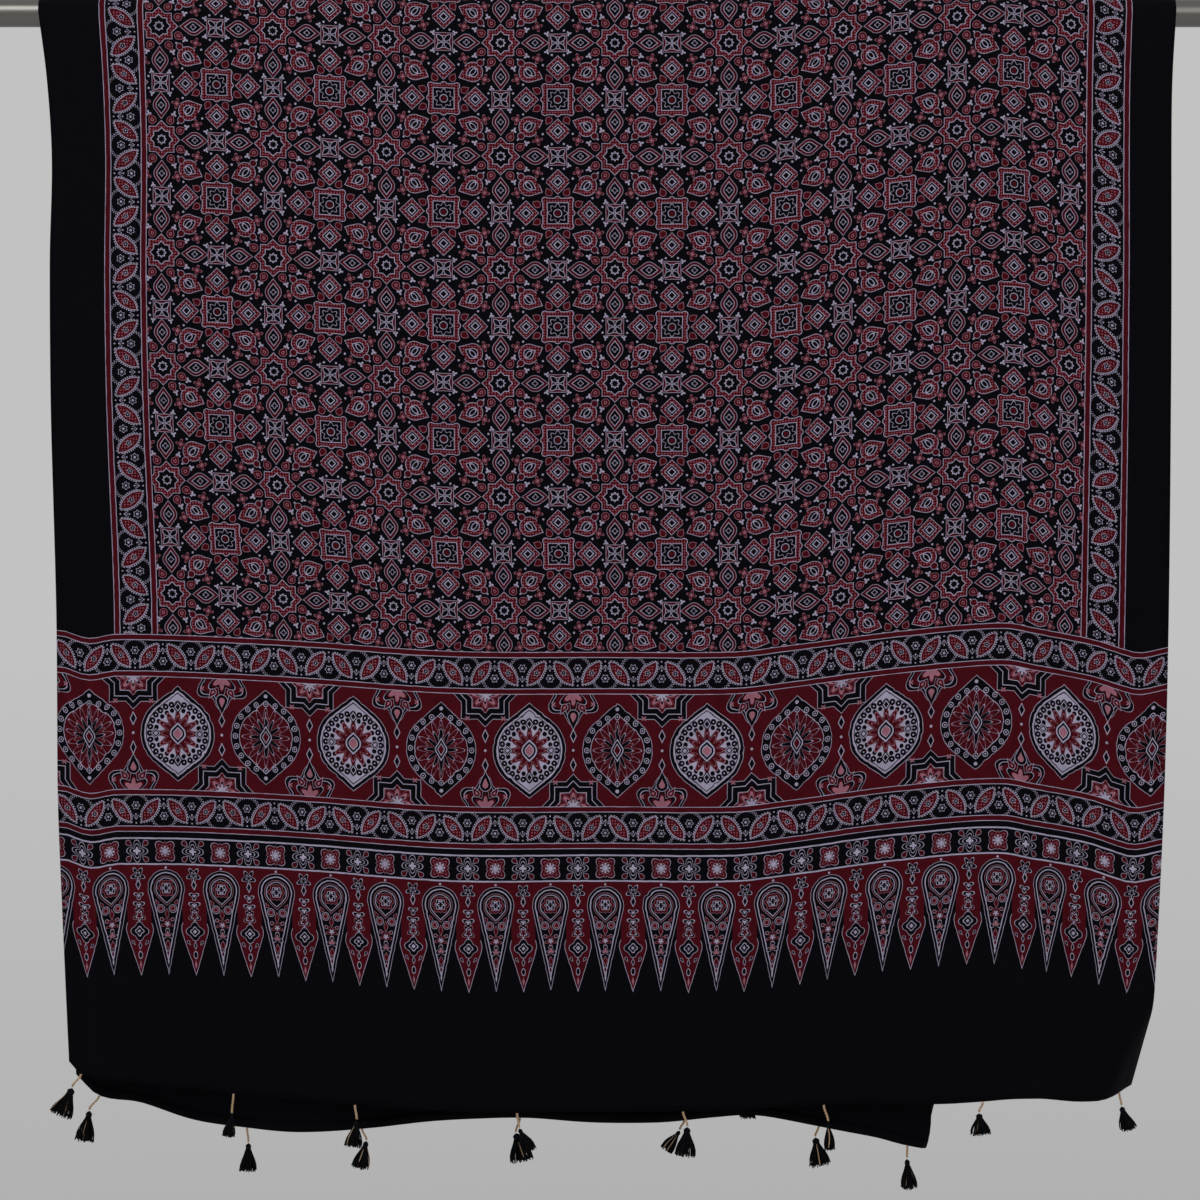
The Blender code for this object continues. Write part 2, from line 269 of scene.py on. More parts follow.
FIELD = Block("field", (115.0, 115.0), Fold.EIGHTHS, B, (
    Mark(Form.DIAMOND, (57.5, 25.6), (13.0, 13.0), ((0, P), (0.85, D), (5.4, P), (6.22, B), (8.4, P), (9.8, B)),
         diagonal=True),
    Mark(Form.OGEE, (34.6, 0.0), (8.6, 14.2), ((0, P), (0.57, R), (3.0, P), (3.66, B)), turn=90.0, diagonal=True),
    Mark(Form.LOBED, (34.6, 0.0), (2.7, 2.7), ((0, P), (0.78, B)), lobes=4, wave=0.24, diagonal=True),
    Mark(Form.STAR, (0.0, 0.0), (13.4, 19.6), ((0, P), (0.71, D), (4.9, P), (5.64, B))),
    Mark(Form.LOBED, (0.0, 0.0), (4.5, 4.5), ((0, P), (1.36, B)), lobes=8, wave=0.16),
    Mark(Form.SQUARE, (57.5, 0.0), (9.3, 9.3), ((0, P), (0.57, R), (3.0, P), (3.57, B)), diagonal=True),
    Mark(Form.LENS, (53.6, 3.9), (5.2, 2.9), ((0, P), (0.8, B)), turn=-45.0, diagonal=True),
    Mark(Form.SQUARE, (57.5, 57.5), (15.6, 15.6), ((0, P),)),
    Mark(Form.ROUND, (57.5, 43.6), (3.7, 3.7), ((0, P),), diagonal=True),
    Mark(Form.ROUND, (44.6, 44.6), (3.7, 3.7), ((0, P),)),
    Mark(Form.SQUARE, (57.5, 57.5), (14.9, 14.9), ((0, D), (3.9, P), (4.6, B))),
    Mark(Form.ROUND, (57.5, 43.6), (3.0, 3.0), ((0, D),), diagonal=True),
    Mark(Form.ROUND, (44.6, 44.6), (3.0, 3.0), ((0, D),)),
    Mark(Form.LOBED, (57.5, 57.5), (8.8, 8.8), ((0, P), (0.78, B)), lobes=8, wave=0.17),
    Mark(Form.ROUND, (57.5, 57.5), (4.4, 4.4), ((0, P), (0.85, B), (1.8, R))),
    Mark(Form.TEAR, (28.2, 29.9), (10.4, 16.0), ((0, P), (0.7, D), (4.9, P), (5.56, B)), turn=-66.0),
    Mark(Form.ROUND, (41.2, 24.2), (5.2, 5.2), ((0, B),)),
    Mark(Form.ROUND, (28.2, 29.8), (2.5, 5.2), ((0, P), (0.8, B)), turn=-41.0),
    Mark(Form.ROUND, (20.4, 20.4), (3.8, 3.8), ((0, P), (0.57, R))),
    Mark(Form.TEAR, (19.4, 9.4), (4.2, 6.8), ((0, Q), (0.57, R), (2.6, Q), (3.26, R)), turn=-60.0, diagonal=True),
    Mark(Form.LOBED, (26.2, 13.4), (2.1, 2.1), ((0, P),), turn=20.0, lobes=3, wave=0.6, diagonal=True),
    Mark(Form.TEAR, (48.6, 36.8), (3.7, 5.8), ((0, Q), (0.64, R)), turn=150.0, diagonal=True),
    Mark(Form.LOBED, (37.0, 16.2), (3.9, 3.9), ((0, Q), (0.64, R), (2.3, Q)), turn=15.0, lobes=4, wave=0.45,
         diagonal=True),
    Mark(Form.ROUND, (17.0, 16.9), (1.1, 1.1), ((0, P),)),
    Mark(Form.ROUND, (42.4, 22.6), (1.2, 1.2), ((0, P),), diagonal=True),
    Mark(Form.ROUND, (51.4, 12.4), (1.2, 1.2), ((0, P),), diagonal=True),
    Mark(Form.LOBED, (46.4, 9.2), (1.9, 1.9), ((0, P),), turn=50.0, lobes=3, wave=0.6, diagonal=True),
))

LEAVES = Block("leaf border", (57.5, 0.0), Fold.MIRROR, B, (
    Mark(Form.LOBED, (0.0, 16.2), (13.0, 11.6), ((0, P), (0.85, B)), lobes=30, wave=0.1),
    Mark(Form.LOBED, (28.75, 27.0), (13.0, 11.6), ((0, P), (0.85, B)), lobes=30, wave=0.1),
    Mark(Form.LENS, (14.7, 21.3), (16.6, 8.4), ((0, P),), turn=-51.0, comb=2.3),
    Mark(Form.LENS, (14.7, 21.3), (16.0, 6.9), ((0, B), (0.5, P), (1.2, R), (2.7, D)), turn=-51.0),
    Mark(Form.LOBED, (14.7, 21.3), (2.9, 2.9), ((0, P), (0.64, B), (2.2, P)), lobes=5, wave=0.2),
    Mark(Form.LOBED, (0.0, 16.4), (3.8, 3.8), ((0, P), (0.71, B), (2.6, P)), lobes=6, wave=0.18),
    Mark(Form.LOBED, (28.75, 26.6), (3.8, 3.8), ((0, P), (0.71, B), (2.6, P)), lobes=6, wave=0.18),
    Mark(Form.ROUND, (28.75, 18.6), (0.9, 0.9), ((0, P),)),
    Mark(Form.ROUND, (28.75, 14.0), (0.9, 0.9), ((0, P),)),
    Mark(Form.ROUND, (28.75, 9.6), (0.9, 0.9), ((0, P),)),
    Mark(Form.ROUND, (0.0, 25.0), (0.9, 0.9), ((0, P),)),
    Mark(Form.ROUND, (0.0, 29.4), (0.9, 0.9), ((0, P),)),
    Mark(Form.ROUND, (0.0, 33.6), (0.9, 0.9), ((0, P),)),
    Mark(Form.STRIPE, (0.0, 3.0), (1.0, 3.2), ((0, P), (0.85, R))),
    Mark(Form.STRIPE, (0.0, 39.5), (1.0, 3.2), ((0, P), (0.85, R))),
))

MEDALLIONS = Block("medallions", (181.8, 0.0), Fold.TURNED, R, (
    Mark(Form.STAR, (45.45, -56.0), (25.0, 33.0), ((0, P), (0.64, B), (5.2, P), (5.94, B), (11.0, P), (11.66, R))),
    Mark(Form.LOBED, (45.45, -56.0), (14.0, 14.0), ((0, Q), (0.85, R), (3.4, Q), (6.5, B), (8.5, P)), lobes=8,
         wave=0.34),
    Mark(Form.LOBED, (45.45, 56.0), (27.0, 25.0), ((0, P), (0.64, B), (3.6, P), (4.34, B), (6.5, R)), turn=90.0,
         lobes=6, wave=0.17),
    Mark(Form.LOBED, (45.45, 56.0), (14.5, 12.5), ((0, P), (0.71, B), (3.2, R), (5.0, Q)), turn=90.0, lobes=6,
         wave=0.3),
    Mark(Form.TEAR, (45.45, 34.5), (6.4, 15.0), ((0, P), (0.64, B), (3.4, Q)), turn=180.0),
    Mark(Form.TEAR, (36.6, 43.0), (3.6, 9.0), ((0, P), (0.57, R), (2.4, Q)), turn=145.0),
    Mark(Form.TEAR, (54.3, 43.0), (3.6, 9.0), ((0, P), (0.57, R), (2.4, Q)), turn=-145.0),
    Mark(Form.DIAMOND, (45.45, -14.5), (3.6, 7.4), ((0, P), (1.00, B))),
    Mark(Form.DIAMOND, (45.45, 14.5), (3.6, 7.4), ((0, P), (1.00, B))),
    Mark(Form.LOBED, (27.0, -32.0), (1.9, 1.9), ((0, Q),), turn=45.0, lobes=4, wave=0.6),
    Mark(Form.LOBED, (64.0, -32.0), (1.9, 1.9), ((0, Q),), turn=45.0, lobes=4, wave=0.6),
    Mark(Form.LOBED, (25.0, 46.0), (1.9, 1.9), ((0, Q),), turn=45.0, lobes=4, wave=0.6),
    Mark(Form.LOBED, (66.0, 46.0), (1.9, 1.9), ((0, Q),), turn=45.0, lobes=4, wave=0.6),
    Mark(Form.ROUND, (45.45, 0.0), (1.5, 1.5), ((0, P),)),
    Mark(Form.LENS, (0.0, 0.0), (55.0, 1.4), ((0, Q),), turn=90.0),
    Mark(Form.OGEE, (0.0, 0.0), (36.2, 48.0), ((0, P), (0.64, B), (8.4, P), (9.06, R)), turn=0.0),
    Mark(Form.BEADS, (0.0, 0.0), (31.6, 33.4), ((0, P), (0.85, B), (2.1, P)), lobes=20, wave=2.9),
    Mark(Form.ROUND, (0.0, -41.0), (2.0, 2.0), ((0, P),)),
    Mark(Form.ROUND, (0.0, 41.0), (2.0, 2.0), ((0, P),)),
    Mark(Form.LOBED, (0.0, 0.0), (20.0, 24.0), ((0, P), (0.8, R)), lobes=16, wave=0.26),
    Mark(Form.LOBED, (0.0, 0.0), (13.5, 16.0), ((0, Q), (0.85, R)), lobes=18, wave=0.3),
    Mark(Form.LOBED, (0.0, 0.0), (11.5, 14.5), ((0, P), (0.8, B)), lobes=12, wave=0.45),
    Mark(Form.LENS, (0.0, 0.0), (27.0, 3.9), ((0, P), (0.57, B)), turn=90.0),
    Mark(Form.OGEE, (0.0, 0.0), (7.2, 13.5), ((0, B), (1.0, P), (1.90, B), (3.6, P), (4.26, R))),
    Mark(Form.LENS, (90.9, 0.0), (55.0, 1.4), ((0, Q),), turn=90.0),
    Mark(Form.OGEE, (90.9, 0.0), (38.0, 48.0), ((0, P), (0.64, B), (3.8, P), (5.4, B), (6.4, P))),
    Mark(Form.BEADS, (90.9, 0.0), (28.6, 29.4), ((0, B), (2.4, P)), lobes=28, wave=3.2),
    Mark(Form.BEADS, (90.9, 0.0), (22.6, 23.6), ((0, B),), lobes=24, wave=2.5),
    Mark(Form.LOBED, (90.9, 0.0), (18.6, 20.0), ((0, B), (0.9, Q), (1.8, R), (4.6, Q), (5.42, R)), lobes=12, wave=0.24),
    Mark(Form.DIAMOND, (90.9, -26.6), (5.0, 7.0), ((0, B), (1.6, P), (2.58, B))),
    Mark(Form.DIAMOND, (90.9, 26.6), (5.0, 7.0), ((0, B), (1.6, P), (2.58, B))),
    Mark(Form.DIAMOND, (68.4, 0.0), (6.0, 6.0), ((0, B), (1.2, P), (2.18, B), (3.8, P))),
    Mark(Form.OGEE, (90.9, 0.0), (9.0, 12.5), ((0, B), (0.9, P), (2.3, B), (4.2, P), (5.02, Q))),
))

FLOWERS = Block("flower band", (57.4, 0.0), Fold.MIRROR, B, (
    Mark(Form.STRIPE, (0.0, 6.4), (1.0, 0.9), ((0, P),)),
    Mark(Form.STRIPE, (0.0, 32.0), (1.0, 0.9), ((0, P),)),
    Mark(Form.TEAR, (9.0, 11.0), (2.9, 5.6), ((0, P), (0.50, R)), turn=45.0),
    Mark(Form.TEAR, (9.0, 27.4), (2.9, 5.6), ((0, P), (0.50, R)), turn=135.0),
    Mark(Form.LOBED, (0.0, 19.2), (8.8, 8.8), ((0, P), (0.7, B), (3.0, P), (3.57, B), (5.8, P)), lobes=4, wave=0.3),
    Mark(Form.LOBED, (28.7, 19.2), (10.4, 10.4), ((0, P), (0.64, R), (4.4, Q), (6.0, R)), turn=45.0, lobes=4,
         wave=0.24),
    Mark(Form.LOBED, (28.7, 19.2), (7.6, 7.6), ((0, Q), (0.57, R), (3.2, P)), lobes=8, wave=0.3),
    Mark(Form.LOBED, (28.7, 19.2), (3.2, 3.2), ((0, B), (0.6, P)), lobes=8, wave=0.2),
))

CONES = Block("cone band", (57.5, 0.0), Fold.MIRROR, B, (
    Mark(Form.TEAR, (28.75, 64.0), (14.4, 46.6), ((0, P), (0.64, R))),
    Mark(Form.SQUARE, (28.75, 33.0), (12.6, 31.0), ((0, R),)),
    Mark(Form.STRIPE, (0.0, 5.0), (1.0, 6.5), ((0, R),)),
    Mark(Form.ROUND, (0.0, 2.4), (1.3, 1.3), ((0, P),)),
    Mark(Form.LOBED, (28.75, 10.0), (6.6, 6.0), ((0, P), (0.71, B), (3.4, P), (4.06, B)), turn=90.0, lobes=5, wave=0.34),
    Mark(Form.DIAMOND, (28.75, 19.5), (3.0, 6.0), ((0, P), (0.93, B))),
    Mark(Form.LOBED, (28.75, 30.5), (3.4, 4.4), ((0, P), (0.71, B), (2.2, P)), turn=90.0, lobes=3, wave=0.4),
    Mark(Form.LOBED, (28.75, 40.0), (4.0, 5.2), ((0, P), (0.71, B), (2.4, P)), turn=90.0, lobes=3, wave=0.4),
    Mark(Form.LOBED, (28.75, 50.5), (7.4, 5.4), ((0, Q), (0.64, B), (2.2, P), (3.02, R)), turn=90.0, lobes=5, wave=0.3),
    Mark(Form.LOBED, (28.75, 66.0), (8.6, 8.6), ((0, P), (0.64, B), (4.2, P), (5.02, B), (6.9, P)), lobes=4, wave=0.16),
    Mark(Form.TEAR, (21.4, 76.6), (1.7, 4.4), ((0, P), (0.50, B)), turn=-35.0),
    Mark(Form.DIAMOND, (28.75, 80.0), (2.0, 4.6), ((0, P), (0.64, B))),
    Mark(Form.ROUND, (28.75, 89.5), (2.4, 4.2), ((0, P), (0.64, B))),
    Mark(Form.DIAMOND, (28.75, 99.0), (1.3, 5.0), ((0, Q),)),
    Mark(Form.TEAR, (0.0, 23.5), (19.4, 86.5), ((0, P), (0.57, B), (3.0, P), (4.0, B))),
    Mark(Form.TEAR, (0.0, 23.4), (12.8, 17.6), ((0, Q), (0.57, B), (1.9, P), (2.56, B))),
    Mark(Form.LOBED, (0.0, 23.0), (8.6, 8.6), ((0, Q), (0.50, R), (3.0, P), (3.57, B)), lobes=7, wave=0.12),
    Mark(Form.LOBED, (0.0, 23.0), (3.5, 3.5), ((0, P), (1.29, B)), lobes=5, wave=0.34),
    Mark(Form.ROUND, (6.2, 43.4), (4.3, 4.3), ((0, P), (0.64, B), (1.6, Q), (2.42, R))),
    Mark(Form.TEAR, (9.6, 37.6), (1.8, 4.6), ((0, Q), (0.50, R)), turn=-150.0),
    Mark(Form.DIAMOND, (0.0, 48.6), (2.6, 6.2), ((0, Q), (0.57, R))),
    Mark(Form.ROUND, (5.6, 54.0), (2.0, 2.0), ((0, P), (0.50, R))),
    Mark(Form.LOBED, (0.0, 58.6), (4.6, 5.0), ((0, Q), (0.57, R), (2.6, P)), turn=90.0, lobes=5, wave=0.4),
    Mark(Form.LOBED, (0.0, 69.0), (4.4, 4.6), ((0, P), (0.64, B), (2.2, Q)), turn=-90.0, lobes=3, wave=0.5),
    Mark(Form.DIAMOND, (0.0, 79.0), (3.0, 5.2), ((0, Q), (0.64, R))),
    Mark(Form.ROUND, (0.0, 87.5), (1.6, 3.2), ((0, P), (0.50, R))),
    Mark(Form.DIAMOND, (0.0, 95.5), (1.0, 4.6), ((0, P),)),
))


@dataclass(frozen=True)
class BlockPrint:
    """Madder, iron black and resist-white blocks on fine cotton.

    Hand-printed cotton is matt, with lines that swell and thin a little, ink that takes unevenly,
    and a faint weave that shows as a grain in raking light.
    """

    black: str = "#05040A"
    madder: str = "#470914"
    dotted: str = "#8F4E5A"
    pale: str = "#A8A0B8"
    pink: str = "#AC7283"
    roughness: float = 0.78
    sheen: float = 0.0
    wobble: float = 0.45  # millimetres that a block's line wanders
    dot_pitch: float = 2.9  # millimetres between the fine dots
    thread: float = 0.9  # millimetres; the real count is finer, drawn as coarse as it can show
    line_blur: float = 0.14  # millimetres to each side of an ink's edge

    def ramp(self, tree: bpy.types.NodeTree, mark: Mark, edge: bpy.types.NodeSocket, reach: float) -> bpy.types.Node:
        """Turns the distance in from a mark's edge into its inks.

        Args:
            tree: The node tree.
            mark: The mark.
            edge: 1 on the mark's edge, falling to 0 at its heart.
            reach: The depth of the heart in millimetres.

        Returns:
            A colour ramp whose alpha is 0 outside the mark.
        """
        node = add_node(tree, "ShaderNodeValToRGB", {"Fac": edge})
        blur = self.line_blur / reach
        stops = [(1.0, (0.0, 0.0, 0.0, 0.0))]
        before = (*mark.inks[0][1].value, 0.0)
        for depth, ink in mark.inks:
            place = 1.0 - depth / reach
            if place < 2.0 * blur:
                break
            colour = (*ink.value, 1.0)
            stops.append((min(place + blur, 0.9999) if depth else 0.9999, before))
            stops.append((place - blur if depth else 1.0 - 2.0 * blur, colour))
            before = colour
        stops.sort(key=lambda stop: stop[0])
        elements = node.color_ramp.elements
        elements[0].position, elements[0].color = stops[0]
        elements[1].position, elements[1].color = stops[-1]
        for place, colour in stops[1:-1]:
            elements.new(place).color = colour
        return node

    def edge_of(self, tree: bpy.types.NodeTree, mark: Mark, plane: bpy.types.NodeSocket
                ) -> tuple[bpy.types.NodeSocket, float, bpy.types.NodeSocket]:
        """Works out a mark's outline.

        Args:
            tree: The node tree.
            mark: The mark.
            plane: The folded place on the block, in millimetres.

        Returns:
            A value that is 1 on the edge and 0 at the heart, the heart's depth, and the local place.
        """
        width, height = mark.size
        reach = min(width, height)
        scale, turn = (width, height, 1.0), math.radians(mark.turn)
        if mark.form is Form.LENS:
            reach = (width * width + height * height) / (2.0 * height)
            scale = (reach, reach, 1.0)
        elif mark.form in (Form.TEAR, Form.OGEE):
            scale = (width, width, 1.0)
            reach = width
        elif mark.form is Form.STAR:
            scale = (1.0, 1.0, 1.0)
        elif mark.form is Form.STRIPE:
            reach = height
        local = add_node(tree, "ShaderNodeMapping", {
            "Vector": plane, "Location": (*mark.at, 0.0), "Rotation": (0.0, 0.0, turn), "Scale": scale,
        }, vector_type="TEXTURE").outputs[0]
        maths, vector = "ShaderNodeMath", "ShaderNodeVectorMath"
        if mark.form is Form.ROUND:
            return add_node(tree, vector, {0: local}, operation="LENGTH").outputs["Value"], reach, local
        if mark.form in (Form.LOBED, Form.BEADS):
            parts = add_node(tree, "ShaderNodeSeparateXYZ", {0: local}).outputs
            angle = add_node(tree, maths, {0: parts[1], 1: parts[0]}, operation="ARCTAN2").outputs[0]
            length = add_node(tree, vector, {0: local}, operation="LENGTH").outputs["Value"]
            if mark.form is Form.LOBED:
                turns = add_node(tree, maths, {0: angle, 1: float(mark.lobes)}, operation="MULTIPLY").outputs[0]
                swing = add_node(tree, maths, {0: turns}, operation="COSINE").outputs[0]
                bound = add_node(tree, maths, {0: swing, 1: mark.wave, 2: 1.0}, operation="MULTIPLY_ADD").outputs[0]
                edge = add_node(tree, maths, {0: length, 1: bound}, operation="DIVIDE").outputs[0]
                return edge, reach, local
            pitch = 2.0 * math.pi / mark.lobes
            along = add_node(tree, maths, {0: angle, 1: pitch / 2, 2: -pitch / 2}, operation="WRAP").outputs[0]
            middle = (width + height) / 2.0 / mark.wave
            side = add_node(tree, maths, {0: along, 1: middle}, operation="MULTIPLY").outputs[0]
            out = add_node(tree, maths, {0: length, 1: middle, 2: -middle}, operation="MULTIPLY_ADD").outputs[0]
            bead = add_node(tree, "ShaderNodeCombineXYZ", {0: side, 1: out}).outputs[0]
            edge = add_node(tree, vector, {0: bead}, operation="LENGTH").outputs["Value"]
            return edge, mark.wave, local
        if mark.form in (Form.TEAR, Form.OGEE):
            lean = math.asin(min(width / height, 1.0))
            down = 1.0 if mark.form is Form.TEAR else -1.0
            other = add_node(tree, vector, {0: local, 1: (-1.0, down, 1.0)}, operation="MULTIPLY").outputs[0]
            halved = add_node(tree, vector, {0: local, 1: other}, operation="MAXIMUM").outputs[0]
            leaned = add_node(tree, "ShaderNodeMapping", {
                "Vector": halved, "Rotation": (0.0, 0.0, -lean),
            }, vector_type="POINT").outputs[0]
            capped = add_node(tree, vector, {0: leaned, 1: (99.0, 0.0, 99.0)}, operation="MINIMUM").outputs[0]
            return add_node(tree, vector, {0: capped}, operation="LENGTH").outputs["Value"], reach, local
        absolute = add_node(tree, vector, {0: local}, operation="ABSOLUTE").outputs[0]
        if mark.form is Form.LENS:
            lifted = add_node(tree, vector, {0: absolute, 1: (0.0, (reach - height) / reach, 0.0)},
                              operation="ADD").outputs[0]
            return add_node(tree, vector, {0: lifted}, operation="LENGTH").outputs["Value"], reach, local
        if mark.form is Form.DIAMOND:
            edge = add_node(tree, vector, {0: absolute, 1: (1.0, 1.0, 0.0)}, operation="DOT_PRODUCT")
            return edge.outputs["Value"], reach, local
        if mark.form is Form.STRIPE:
            edge = add_node(tree, vector, {0: absolute, 1: (0.0, 1.0, 0.0)}, operation="DOT_PRODUCT")
            return edge.outputs["Value"], reach, local
        parts = add_node(tree, "ShaderNodeSeparateXYZ", {0: absolute}).outputs
        square = add_node(tree, maths, {0: parts[0], 1: parts[1]}, operation="MAXIMUM").outputs[0]
        if mark.form is Form.SQUARE:
            return square, reach, local
        inner = add_node(tree, maths, {0: square, 1: 1.0 / width}, operation="MULTIPLY").outputs[0]
        point = add_node(tree, vector, {0: absolute, 1: (1.0 / height, 1.0 / height, 0.0)},
                         operation="DOT_PRODUCT").outputs["Value"]
        return add_node(tree, maths, {0: inner, 1: point}, operation="MINIMUM").outputs[0], width, local

    def folded(self, tree: bpy.types.NodeTree, block: Block, place: bpy.types.NodeSocket
               ) -> tuple[bpy.types.NodeSocket, bpy.types.NodeSocket]:
        """Folds a place on the cloth into one repeat of a block.

        Args:
            tree: The node tree.
            block: The block.
            place: The place in millimetres.

        Returns:
            The place in the repeat, and that place folded over the diagonal too.
        """
        vector, far = "ShaderNodeVectorMath", 1e5
        half = [side / 2.0 if side else far for side in block.repeat]
        wrapped = add_node(tree, vector, {0: place, 1: (*half, far), 2: (-half[0], -half[1], -far)},
                           operation="WRAP").outputs[0]
        if block.fold is Fold.TURNED:
            parts = add_node(tree, "ShaderNodeSeparateXYZ", {0: wrapped}).outputs
            sign = add_node(tree, "ShaderNodeMath", {0: parts[0]}, operation="SIGN").outputs[0]
            turned = add_node(tree, vector, {0: wrapped, "Scale": sign}, operation="SCALE").outputs[0]
            return turned, turned
        down = 1.0 if block.fold is Fold.MIRROR else -1.0
        other = add_node(tree, vector, {0: wrapped, 1: (-1.0, down, 1.0)}, operation="MULTIPLY").outputs[0]
        mirrored = add_node(tree, vector, {0: wrapped, 1: other}, operation="MAXIMUM").outputs[0]
        if block.fold is not Fold.EIGHTHS:
            return mirrored, mirrored
        parts = add_node(tree, "ShaderNodeSeparateXYZ", {0: mirrored}).outputs
        large = add_node(tree, "ShaderNodeMath", {0: parts[0], 1: parts[1]}, operation="MAXIMUM").outputs[0]
        small = add_node(tree, "ShaderNodeMath", {0: parts[0], 1: parts[1]}, operation="MINIMUM").outputs[0]
        return mirrored, add_node(tree, "ShaderNodeCombineXYZ", {0: large, 1: small}).outputs[0]

    def inked(self, tree: bpy.types.NodeTree, block: Block, place: bpy.types.NodeSocket) -> bpy.types.NodeSocket:
        """Prints a block's marks over its ground, one on another.

        Args:
            tree: The node tree.
            block: The block.
            place: The place on the cloth in millimetres.

        Returns:
            The ink shares as a colour.
        """
        plain, diagonal = self.folded(tree, block, place)
        below: bpy.types.NodeSocket | tuple = (*block.ground.value, 1.0)
        for mark in block.marks:
            edge, reach, local = self.edge_of(tree, mark, diagonal if mark.diagonal else plain)
            ramp = self.ramp(tree, mark, edge, reach)
            cover = ramp.outputs["Alpha"]
            if mark.comb:
                teeth = add_node(tree, "ShaderNodeVectorMath",
                                 {0: local, 1: (2.0 * math.pi * reach / mark.comb, 0.0, 0.0)},
                                 operation="DOT_PRODUCT").outputs["Value"]
                wave = add_node(tree, "ShaderNodeMath", {0: teeth}, operation="SINE").outputs[0]
                tooth = add_node(tree, "ShaderNodeMath", {0: wave, 1: 0.0}, operation="GREATER_THAN").outputs[0]
                cover = add_node(tree, "ShaderNodeMath", {0: cover, 1: tooth}, operation="MULTIPLY").outputs[0]
            below = add_node(tree, "ShaderNodeMix", {0: cover, 6: below, 7: ramp.outputs["Color"]},
                             data_type="RGBA").outputs[2]
        return below

    def make(self, block: Block) -> bpy.types.Material:
        """Makes the material of cloth printed with one block.

        Args:
            block: The block.

        Returns:
            The material.
        """
        material, tree, shader = new_material(f"Block-printed cotton, {block.name}")
        vector, maths, mix = "ShaderNodeVectorMath", "ShaderNodeMath", "ShaderNodeMix"
        printed = add_node(tree, "ShaderNodeUVMap", uv_map=PRINT_MAP).outputs[0]
        straight = add_node(tree, vector, {0: printed, "Scale": 1.0 / MM}, operation="SCALE").outputs[0]
        drift = add_node(tree, "ShaderNodeTexNoise", {"Vector": straight, "Scale": 0.11, "Detail": 1.0}).outputs[1]
        drifted = add_node(tree, vector, {0: drift, 1: (-0.5, -0.5, -0.5)}, operation="ADD").outputs[0]
        wandered = add_node(tree, vector, {0: drifted, 1: (2.0 * self.wobble,) * 3, 2: straight},
                            operation="MULTIPLY_ADD").outputs[0]
        if block.marks:
            inks = self.inked(tree, block, wandered)
            shares = add_node(tree, "ShaderNodeSeparateColor", {0: inks}).outputs
            half = self.dot_pitch / 2.0
            dots = add_node(tree, vector, {0: wandered, 1: (half, half, 1e5), 2: (-half, -half, -1e5)},
                            operation="WRAP").outputs[0]
            span = add_node(tree, vector, {0: dots}, operation="LENGTH").outputs["Value"]
            dot = add_node(tree, maths, {0: span, 1: self.dot_pitch * 0.27}, operation="LESS_THAN").outputs[0]
            dotted = add_node(tree, maths, {0: shares[2], 1: dot}, operation="MULTIPLY").outputs[0]
            ground = add_node(tree, mix, {0: shares[0], 6: dye(self.black), 7: dye(self.madder)},
                              data_type="RGBA").outputs[2]
            speckled = add_node(tree, mix, {0: dotted, 6: ground, 7: dye(self.dotted)}, data_type="RGBA").outputs[2]
            resist = add_node(tree, mix, {0: shares[0], 6: dye(self.pale), 7: dye(self.pink)},
                              data_type="RGBA").outputs[2]
            colour = add_node(tree, mix, {0: shares[1], 6: speckled, 7: resist}, data_type="RGBA").outputs[2]
        else:
            colour = dye(self.black)[:3]
        cotton = add_node(tree, "ShaderNodeUVMap", uv_map=WEAVE_MAP).outputs[0]
        uneven = add_node(tree, "ShaderNodeTexNoise", {"Vector": cotton, "Scale": 60.0, "Detail": 3.0}).outputs[0]
        density = add_node(tree, "ShaderNodeMapRange", {0: uneven, 1: 0.3, 2: 0.7, 3: 0.82, 4: 1.12}).outputs[0]
        worn = add_node(tree, vector, {0: colour, "Scale": density}, operation="SCALE").outputs[0]
        tree.links.new(worn, shader.inputs["Base Color"])
        threads = add_node(tree, vector, {0: cotton, "Scale": 2.0 * math.pi / (self.thread * MM)},
                           operation="SCALE").outputs[0]
        waves = add_node(tree, vector, {0: threads}, operation="SINE").outputs[0]
        over = add_node(tree, "ShaderNodeSeparateXYZ", {0: waves}).outputs
        weave = add_node(tree, maths, {0: over[0], 1: over[1]}, operation="MULTIPLY").outputs[0]
        bump = add_node(tree, "ShaderNodeBump", {"Strength": 0.25, "Distance": 0.15 * MM, "Height": weave})
        tree.links.new(bump.outputs[0], shader.inputs["Normal"])
        shader.inputs["Roughness"].default_value = self.roughness
        shader.inputs["Sheen Weight"].default_value = self.sheen
        shader.inputs["Specular IOR Level"].default_value = 0.06
        return material


# ---------------------------------------------------------------- the cloth


